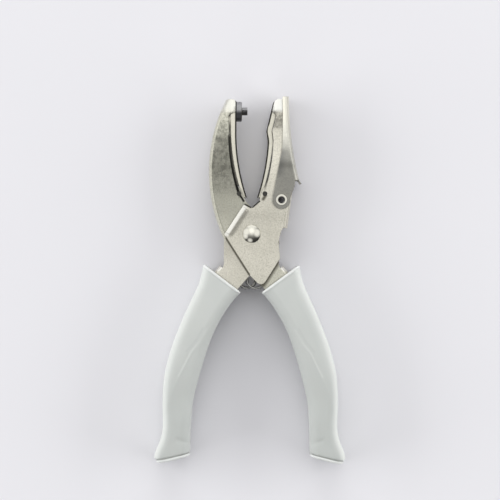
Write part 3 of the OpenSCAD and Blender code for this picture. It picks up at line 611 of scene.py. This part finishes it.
def smooth_faces():
    """Modifier nodes that shade a mesh smooth and keep its sharp edges."""
    group = bpy.data.node_groups.new("smooth_faces", "GeometryNodeTree")
    group.interface.new_socket("Geometry", in_out="INPUT", socket_type="NodeSocketGeometry")
    group.interface.new_socket("Geometry", in_out="OUTPUT", socket_type="NodeSocketGeometry")
    start = group.nodes.new("NodeGroupInput")
    end = group.nodes.new("NodeGroupOutput")
    angle = group.nodes.new("GeometryNodeInputMeshEdgeAngle")
    gentle = group.nodes.new("FunctionNodeCompare")
    gentle.operation = "LESS_THAN"
    gentle.inputs["B"].default_value = SHARP_EDGE
    faces = group.nodes.new("GeometryNodeSetShadeSmooth")
    faces.domain = "FACE"
    edges = group.nodes.new("GeometryNodeSetShadeSmooth")
    edges.domain = "EDGE"
    group.links.new(start.outputs[0], faces.inputs["Geometry"])
    group.links.new(faces.outputs["Geometry"], edges.inputs["Geometry"])
    group.links.new(angle.outputs["Unsigned Angle"], gentle.inputs["A"])
    group.links.new(gentle.outputs["Result"], edges.inputs["Shade Smooth"])
    group.links.new(edges.outputs["Geometry"], end.inputs[0])
    return group


def dress(name, mat, group):
    """A CAD node keeps its solid, and gets its material and smooth shading."""
    obj = nodes[name]
    obj.data.materials.clear()
    obj.data.materials.append(mat)
    weld = obj.modifiers.new("weld", "WELD")
    weld.merge_threshold = WELD_REACH * MM
    obj.modifiers.new("smooth", "NODES").node_group = group
    normals = obj.modifiers.new("normals", "WEIGHTED_NORMAL")
    normals.weight = FACE_WEIGHT
    normals.keep_sharp = True


shading = smooth_faces()
for node_name, look in NODE_LOOKS.items():
    dress(node_name, look, shading)


# Meshes made from rings of points

def skin(name, rings, mat):
    """A closed mesh over rings of points, all with the same count."""
    mesh = bpy.data.meshes.new(name)
    work = bmesh.new()
    rows = [[work.verts.new(p) for p in ring] for ring in rings]
    for one, two in zip(rows, rows[1:]):
        for k in range(len(one)):
            after = (k + 1) % len(one)
            work.faces.new((one[k], one[after], two[after], two[k]))
    work.faces.new(list(reversed(rows[0])))
    work.faces.new(rows[-1])
    bmesh.ops.recalc_face_normals(work, faces=work.faces)
    for face in work.faces:
        face.smooth = True
    work.to_mesh(mesh)
    work.free()
    mesh.materials.append(mat)
    obj = bpy.data.objects.new(name, mesh)
    show(obj)
    return obj


# Grips: the same centre line and widths as the solids, with more rings and the moulded crease.
# s is the distance along a grip, u the offset outwards. A station is s and both half widths.

HANDLE_R = 101.5
HANDLE_CENTRE = (67.8, -81.8)
GRIP_SWEEP = 36.9
GRIP_START = math.radians(180 - GRIP_SWEEP)
GRIP_CURVE = HANDLE_R * math.radians(GRIP_SWEEP)
GRIP_TAIL = 23.5
GRIP_LEN = GRIP_CURVE + GRIP_TAIL
GRIP_HALF = 8.5
EDGE_R = 5.0
END_R = 0.8
FOOT_SLOPE = 0.27
STATIONS = [
    (0, 11.2, 10.9), (8.5, 7.9, 10.1), (24, 6.9, 9.5), (39, 7.4, 9.3), (51, 7.9, 8.4),
    (63, 7.6, 6.9), (74, 7.4, 6.1), (79, 8.4, 6.0), (84, 10.6, 5.8), (GRIP_LEN, 11.9, 5.6),
]
STATION_SLACK = 0.01


def width_at(s, column):
    """Half width at a distance along the grip, eased between the stations."""
    last = len(STATIONS) - 1
    k = max(n for n in range(last) if STATIONS[n][0] <= s + STATION_SLACK)
    a, b = STATIONS[k], STATIONS[k + 1]
    before, after = STATIONS[max(k - 1, 0)], STATIONS[min(k + 2, last)]
    gap = b[0] - a[0]
    slope_a = (b[column] - before[column]) / (b[0] - before[0]) * gap
    slope_b = (after[column] - a[column]) / (after[0] - a[0]) * gap
    t = (s - a[0]) / gap
    return (
        (2 * t**3 - 3 * t**2 + 1) * a[column] + (t**3 - 2 * t**2 + t) * slope_a
        + (3 * t**2 - 2 * t**3) * b[column] + (t**3 - t**2) * slope_b
    )


def grip_point(s, u, z, side):
    """A point of a grip: distance along it, offset outwards, height; side is -1 for the left."""
    lean = max(0.0, (s - GRIP_CURVE) / GRIP_TAIL)
    along = s + FOOT_SLOPE * u * lean * lean
    angle = GRIP_START + min(along, GRIP_CURVE) / HANDLE_R
    tail = max(0.0, along - GRIP_CURVE)
    x = HANDLE_CENTRE[0] + (HANDLE_R + u) * math.cos(angle)
    y = HANDLE_CENTRE[1] + (HANDLE_R + u) * math.sin(angle) - tail
    return at(-side * x, y, z)


# The crease and the fold are (s, u) points. A crest and a fold have a depth and a width, a fade has
# its start and its length, and the crest's ease also the part that it takes away. The marks start
# at the first of CREASE_HEIGHTS and reach their depth over the second.

CREASE = [
    (18, -7.4), (25, -5.5), (32, -4.4), (38, -1.9), (45, -0.4), (50, 1.1), (62, 4.7), (70, 7.4),
]
CREASE_DROP = 0.16
CREASE_ROUND = 0.35
CREASE_GROW = 5
CREASE_FADE = (58, 14)
CREASE_CREST = (0.14, 0.9)
CREST_EASE = (42, 10, 0.6)
CREASE_HEIGHTS = (2.0, 4.0)
FOLD = [(79.0, 1.8), (81.8, -4.8)]
FOLD_SIZE = (0.3, 0.9)
FOLD_ENDS = (4, 1.2)
RIM_RISE = 0.2
RIM_BANDS = [(0.9, 1.7), (GRIP_LEN - 8.0, GRIP_LEN - 3.0)]
FOOT_GROOVE = (GRIP_LEN - 1.6, 0.36, 0.5)
FOOT_CORNER_R = 4.2
FOOT_CORNER_PART = 0.96


def crease_u(s):
    """Offset of the crease at a distance along the grip."""
    for (s0, u0), (s1, u1) in zip(CREASE, CREASE[1:]):
        if s <= s1:
            t = (s - s0) / (s1 - s0)
            return u0 + (u1 - u0) * t
    return CREASE[-1][1]


def hump(distance, width):
    """A bell-shaped rise, 1 at its middle."""
    return math.exp(-((distance / width) ** 2))


def crease_drop(s, u):
    """How far the flat of the grip falls away on the finger side of its diagonal crease, below
    a low crest along the crease."""
    if s < CREASE[0][0]:
        return 0.0
    past = crease_u(s) - u
    end, end_len = CREASE_FADE
    ease, ease_len, ease_part = CREST_EASE
    height, width = CREASE_CREST
    fade = 1 - smooth((s - end) / end_len)
    grow = smooth((s - CREASE[0][0]) / CREASE_GROW)
    fall = CREASE_DROP * past * past / (past + CREASE_ROUND) if past > 0 else 0.0
    crest = height * grow * (1 - ease_part * smooth((s - ease) / ease_len))
    return (fall - crest * hump(past, width)) * fade


def fold_drop(s, u):
    """Depth of the short fold above the foot."""
    (s0, u0), (s1, u1) = FOLD
    depth, width = FOLD_SIZE
    steep, stop = FOLD_ENDS
    t = (u - u0) / (u1 - u0)
    ends = smooth(steep * t) * smooth(steep * (stop - t))
    return depth * hump(s - s0 - (s1 - s0) * t, width) * ends


def rim_drop(s):
    """How far the body lies below the rims at the mouth and at the foot, with the foot's groove."""
    (mouth, body), (tail, foot) = RIM_BANDS
    low = smooth((s - mouth) / (body - mouth)) * (1 - smooth((s - tail) / (foot - tail)))
    groove, width, depth = FOOT_GROOVE
    return RIM_RISE * low + depth * hump(s - groove, width)


def corner_drop(s):
    """How far the foot's outer corner is rounded off."""
    into = max(0.0, s - (GRIP_LEN - FOOT_CORNER_R))
    into = min(into, FOOT_CORNER_PART * FOOT_CORNER_R)
    return FOOT_CORNER_R - math.sqrt(FOOT_CORNER_R**2 - into**2)


CORNERS = ((1, 1, 0), (-1, 1, 90), (-1, -1, 180), (1, -1, 270))
CORNER_STEPS = 9
FLAT_STEPS = 26
END_STEPS = 6
RING_FINE = 0.22
RING_COARSE = 0.8
FINE_STRETCH = 5.0


def grip_ring(s, inset, side):
    """Points round a grip at a distance along it: four round corners and two flats."""
    inset += rim_drop(s)
    outer = width_at(s, 1) - inset - corner_drop(s)
    inner = width_at(s, 2) - inset
    half = GRIP_HALF - inset
    flat = []
    for across, up, turn in CORNERS:
        middle = outer - EDGE_R if across > 0 else EDGE_R - inner
        for k in range(CORNER_STEPS + 1):
            a = math.radians(turn + 90 * k / CORNER_STEPS)
            height = up * (half - EDGE_R) + EDGE_R * math.sin(a)
            flat.append((middle + EDGE_R * math.cos(a), height))
        if turn in (0, 180):
            reach = EDGE_R - inner if across > 0 else outer - EDGE_R
            for k in range(1, FLAT_STEPS):
                flat.append((middle + (reach - middle) * k / FLAT_STEPS, up * half))
    low, rise = CREASE_HEIGHTS
    ring = []
    for u, z in flat:
        drop = (crease_drop(s, u) + fold_drop(s, u)) * smooth((abs(z) - low) / rise)
        ring.append(grip_point(s, u, z - math.copysign(drop, z), side))
    return ring


def grip_stops():
    """Distances along the grip where it has a ring, close together near both ends."""
    count = round(FINE_STRETCH / RING_FINE)
    near = [END_R + FINE_STRETCH * k / count for k in range(1, count + 1)]
    far = [GRIP_LEN - s for s in reversed(near)]
    steps = round((far[0] - near[-1]) / RING_COARSE)
    middle = [near[-1] + (far[0] - near[-1]) * k / steps for k in range(1, steps)]
    return near + middle + far


def build_grip(name, side, mat):
    turns = [math.radians(90 * k / END_STEPS) for k in range(END_STEPS + 1)]
    ease = [(END_R * (1 - math.cos(a)), END_R * (1 - math.sin(a))) for a in turns]
    rings = [grip_ring(e, i, side) for e, i in ease]
    rings += [grip_ring(s, 0, side) for s in grip_stops()]
    rings += [grip_ring(GRIP_LEN - e, i, side) for e, i in reversed(ease)]
    return skin(name, rings, mat)


# Lines of painted highlight and painted shade in the grips' material: where along the grip, half width
# and the soft part of that

# Painted highlights along the mouth's and foot's rims and on the crease's crest, painted shade in the
# foot's groove and the crease's trough
RIM_LIGHT_TONE = (0.7, 0.715, 0.7)
MOUTH_RIM = (0.5, 0.75, 0.45)
FOOT_RIM = (GRIP_LEN - 0.6, 0.75, 0.3)
GROOVE_SHADE = (0.28, 0.285, 0.27)
GROOVE_LINE = (FOOT_GROOVE[0], 0.3, 0.25)
CREASE_HIGHLIGHT = (0.562, 0.58, 0.56)
CREASE_SHADE = (0.508, 0.527, 0.51)
CREASE_LINE = (0.75, 0.7)
CREST_STRETCH = (25, 50, 0.0)
TROUGH_STRETCH = (25, 38, 1.7)


def grip_line(s, width, fade, side):
    """A straight line across a grip at a distance along it."""
    ends = [(grip_point(s, u, 0, side) - PIVOT) / MM for u in (width_at(s, 1), -width_at(s, 2))]
    first, last = [(p.x, p.y) for p in ends]
    return first, last, width, fade


def crease_lines(first, last, shift, side):
    """Lines along a stretch of the crease, moved outwards by a shift."""
    width, fade = CREASE_LINE
    path = [grip_point(s, u + shift, 0, side) - PIVOT for s, u in CREASE if first <= s <= last]
    for start, end in zip(path, path[1:]):
        lap = (end - start).normalized() * fade * MM
        yield tuple((start - lap).xy / MM), tuple((end + lap).xy / MM), width, fade


grip_lines = []
for side in (-1, 1):
    grip_lines += [(CREASE_SHADE, line) for line in crease_lines(*TROUGH_STRETCH, side)]
    grip_lines += [(CREASE_HIGHLIGHT, line) for line in crease_lines(*CREST_STRETCH, side)]
    grip_lines += [
        (GROOVE_SHADE, grip_line(*GROOVE_LINE, side)),
        (RIM_LIGHT_TONE, grip_line(*FOOT_RIM, side)),
        (RIM_LIGHT_TONE, grip_line(*MOUTH_RIM, side)),
    ]
plastic = grip_plastic("grip_plastic", grip_lines)
left = build_grip("left_grip_moulding", -1, plastic)
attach(left, "die_side")
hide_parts("left_grip")
right = build_grip("right_grip_moulding", 1, plastic)
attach(right, "punch_side")
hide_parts("right_grip")

# Handle spring: one smooth wire along the solid spring's path

WIRE_R = 0.65
WIRE_SIDES = 14
COIL_R = 5.0
COIL_PITCH = 1.8
COIL_STEPS = 150
LEG_LEAN = 8.0
LEG_LEN = 21.5
LEG_STEPS = 10
LEG_BEND_R = 4.0
BEND_STEPS = 16
HOOK_STEPS = 4
COIL_SWEEP = 360 * 2 + 180 + 2 * LEG_LEAN
WEB_OUTSIDE = 4.9
WEB_THICK = 1.2
LEG_GAP = 0.05
WEB_INSIDE = HANDLE_R + WEB_OUTSIDE - WEB_THICK - LEG_GAP


def leg_path():
    """The right leg in the plane, from the coil outwards, square on to the handle's web."""
    heading = math.radians(LEG_LEAN - 90)
    lean = math.radians(LEG_LEAN)
    start = Vector((-math.cos(lean), -math.sin(lean))) * COIL_R
    run = Vector((math.cos(heading), math.sin(heading)))
    knee = start + run * LEG_LEN
    centre = knee + Vector((-math.sin(heading), math.cos(heading))) * LEG_BEND_R
    hub = Vector((-HANDLE_CENTRE[0], HANDLE_CENTRE[1]))
    reach = centre - hub
    last = math.atan2(reach.y, reach.x) - math.asin(LEG_BEND_R / reach.length)
    path = [start + (knee - start) * k / LEG_STEPS for k in range(1, LEG_STEPS)]
    for k in range(BEND_STEPS + 1):
        a = heading + (last - heading) * k / BEND_STEPS
        path.append(centre + Vector((math.sin(a), -math.cos(a))) * LEG_BEND_R)
    end = hub + Vector((math.cos(last), math.sin(last))) * WEB_INSIDE
    path += [path[-1].lerp(end, k / HOOK_STEPS) for k in range(1, HOOK_STEPS + 1)]
    return path


def spring_path():
    """The wire's middle line: the left leg, the coil from its lower end up, and the right leg."""
    leg_z = COIL_PITCH * COIL_SWEEP / 720
    leg = leg_path()
    path = [(-p.x, p.y, -leg_z) for p in reversed(leg)]
    for k in range(COIL_STEPS + 1):
        t = k / COIL_STEPS
        a = math.radians(COIL_SWEEP * t - LEG_LEAN)
        path.append((COIL_R * math.cos(a), COIL_R * math.sin(a), 2 * leg_z * (t - 0.5)))
    path += [(p.x, p.y, leg_z) for p in leg]
    return [Vector(p) for p in path]


def tube(name, path, radius, sides, mat):
    rings = []
    for k, p in enumerate(path):
        run = (path[min(k + 1, len(path) - 1)] - path[max(k - 1, 0)]).normalized()
        across = UP.cross(run).normalized()
        up = run.cross(across)
        ring = []
        for s in range(sides):
            a = 2 * math.pi * s / sides
            ring.append(at(*(p + radius * (math.cos(a) * across + math.sin(a) * up))))
        rings.append(ring)
    return skin(name, rings, mat)


wire = tube("spring_wire", spring_path(), WIRE_R, WIRE_SIDES, wire_steel)
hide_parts("handle_spring")
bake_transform(wire)

# Floor and lamps, in metres. A lamp is its name, place, size and watts.

BACKDROP = (0.72, 0.715, 0.745)
PAPER = (0.76, 0.755, 0.785)
PAPER_DRIFTED = (0.75, 0.745, 0.775)
PAPER_DRIFT = (9, 2)
PAPER_DRIFT_LEVELS = (0.3, 0.7)
FLOOR_HALF = 1.6
FLOOR_GAP = 0.0002
FLOOR_FADE = (0.2, 0.45)
LAMP_TARGET = at(0, -10)
LAMPS = [
    ("softbox_left", (-1.4, 0.09, 0.385), (1.6, 0.5), 15.0),
    ("softbox_right", (1.4, 0.09, 0.385), (1.6, 0.5), 15.0),
    ("softbox_back", (0.0, 1.49, 0.595), (1.4, 0.44), 6.0),
    ("softbox_front", (0.0, -1.58, 0.525), (1.4, 0.44), 3.6),
]


def floor_paper(name):
    """Pale paper that fades into the backdrop's colour away from the tool."""
    mat, tree, bsdf, place = start_material(name)
    bsdf.inputs["Roughness"].default_value = 0.9
    bsdf.inputs["Specular IOR Level"].default_value = 0.1
    drift = spread(tree, noise(tree, place, *PAPER_DRIFT), *PAPER_DRIFT_LEVELS)
    tree.links.new(mix(tree, drift, PAPER, PAPER_DRIFTED), bsdf.inputs["Base Color"])
    away = tree.nodes.new("ShaderNodeVectorMath")
    away.operation = "LENGTH"
    tree.links.new(place, away.inputs[0])
    glow = tree.nodes.new("ShaderNodeEmission")
    glow.inputs["Color"].default_value = (*BACKDROP, 1.0)
    blend = tree.nodes.new("ShaderNodeMixShader")
    tree.links.new(spread(tree, away.outputs["Value"], *FLOOR_FADE), blend.inputs["Fac"])
    tree.links.new(bsdf.outputs["BSDF"], blend.inputs[1])
    tree.links.new(glow.outputs["Emission"], blend.inputs[2])
    tree.links.new(blend.outputs["Shader"], tree.nodes["Material Output"].inputs["Surface"])
    return mat


def floor_plane():
    mesh = bpy.data.meshes.new("floor")
    work = bmesh.new()
    bmesh.ops.create_grid(work, x_segments=1, y_segments=1, size=FLOOR_HALF)
    work.to_mesh(mesh)
    work.free()
    mesh.materials.append(floor_paper("floor_paper"))
    floor = bpy.data.objects.new("floor", mesh)
    floor.location.z = cad_low[2] - FLOOR_GAP
    show(floor)


def softbox(name, where, size, watts):
    data = bpy.data.lights.new(name, "AREA")
    data.shape = "RECTANGLE"
    data.size, data.size_y = size
    data.energy = watts
    lamp = bpy.data.objects.new(name, data)
    lamp.location = where
    lamp.rotation_euler = (LAMP_TARGET - Vector(where)).to_track_quat("-Z", "Y").to_euler()
    lamp.visible_glossy = False
    lamp.visible_camera = False
    show(lamp)


floor_plane()
for lamp_row in LAMPS:
    softbox(*lamp_row)

# Sky: levels by the cosine of the angle from its leaning top, lobes with their heading, the angles
# of their full and their faded part and their level, and the heights where the backdrop ends

SKY_LEAN = math.radians(30)
SKY_TOP = (0.0, math.sin(SKY_LEAN), math.cos(SKY_LEAN))
SKY_STRENGTH = 1.25
SKY_LEVELS = [
    (0.0, 0.03), (0.34, 0.06), (0.64, 0.216), (0.77, 0.4), (0.866, 0.64), (0.92, 0.784),
    (0.96, 0.896), (1.0, 1.0),
]
SKY_LOBES = [
    ((-0.70, 0.30, 0.65), 18, 42, 0.8),
    ((0.70, 0.20, 0.68), 18, 42, 0.76),
    ((0.0, 0.95, 0.30), 22, 54, 0.76),
    ((-0.2, -0.82, 0.56), 7, 23, 0.62),
    ((-0.80, -0.20, 0.55), 12, 32, 0.74),
]
HORIZON = (0.1, 0.2)


def studio_world():
    """Soft light from above. The camera sees the plain backdrop, and metal sees it near the horizon."""
    world = bpy.data.worlds.new("studio")
    world.use_nodes = True
    bpy.context.scene.world = world
    sky = world.node_tree
    direction = sky.nodes.new("ShaderNodeTexCoord").outputs["Generated"]

    def towards(heading):
        return along_heading(sky, direction, Vector(heading).normalized())

    ramp = sky.nodes.new("ShaderNodeValToRGB")
    sky.links.new(towards(SKY_TOP), ramp.inputs["Fac"])
    stops = ramp.color_ramp.elements
    for cosine, _ in SKY_LEVELS[1:-1]:
        stops.new(cosine)
    for stop, (cosine, level) in zip(stops, SKY_LEVELS):
        stop.position = cosine
        stop.color = (level, level, level, 1)
    brightness = ramp.outputs["Color"]
    for heading, full, faded, level in SKY_LOBES:
        near, far = math.cos(math.radians(full)), math.cos(math.radians(faded))
        lobe = spread(sky, towards(heading), far, near, 0.0, level)
        brightness = maths(sky, "MAXIMUM", brightness, lobe)
    light = sky.nodes["Background"]
    sky.links.new(brightness, light.inputs["Color"])
    light.inputs["Strength"].default_value = SKY_STRENGTH
    backdrop = sky.nodes.new("ShaderNodeBackground")
    backdrop.inputs["Color"].default_value = (*BACKDROP, 1.0)
    paths = sky.nodes.new("ShaderNodeLightPath").outputs
    mirrored = maths(sky, "MAXIMUM", paths["Is Glossy Ray"], paths["Is Transmission Ray"])
    mirrored = maths(sky, "MULTIPLY", mirrored, spread(sky, towards(UP), *HORIZON, 1.0, 0.0))
    seen = sky.nodes.new("ShaderNodeMixShader")
    sky.links.new(maths(sky, "MAXIMUM", paths["Is Camera Ray"], mirrored), seen.inputs["Fac"])
    sky.links.new(light.outputs["Background"], seen.inputs[1])
    sky.links.new(backdrop.outputs["Background"], seen.inputs[2])
    sky.links.new(seen.outputs["Shader"], sky.nodes["World Output"].inputs["Surface"])


studio_world()

# Camera, straight above as in the photograph

PHOTO_WIDTH = 235.0
VIEW_CENTRE = (-0.7, -7.5)
CAMERA_RISE = 900.0
CAMERA_ROLL = 0.45
SENSOR_WIDTH = 36.0
camera = bpy.data.cameras.new("camera")
camera.sensor_width = SENSOR_WIDTH
camera.lens = SENSOR_WIDTH * CAMERA_RISE / PHOTO_WIDTH
camera_object = bpy.data.objects.new("camera", camera)
camera_object.location = at(*VIEW_CENTRE, CAMERA_RISE)
camera_object.rotation_euler = (0.0, 0.0, math.radians(CAMERA_ROLL))
show(camera_object)
bpy.context.scene.camera = camera_object
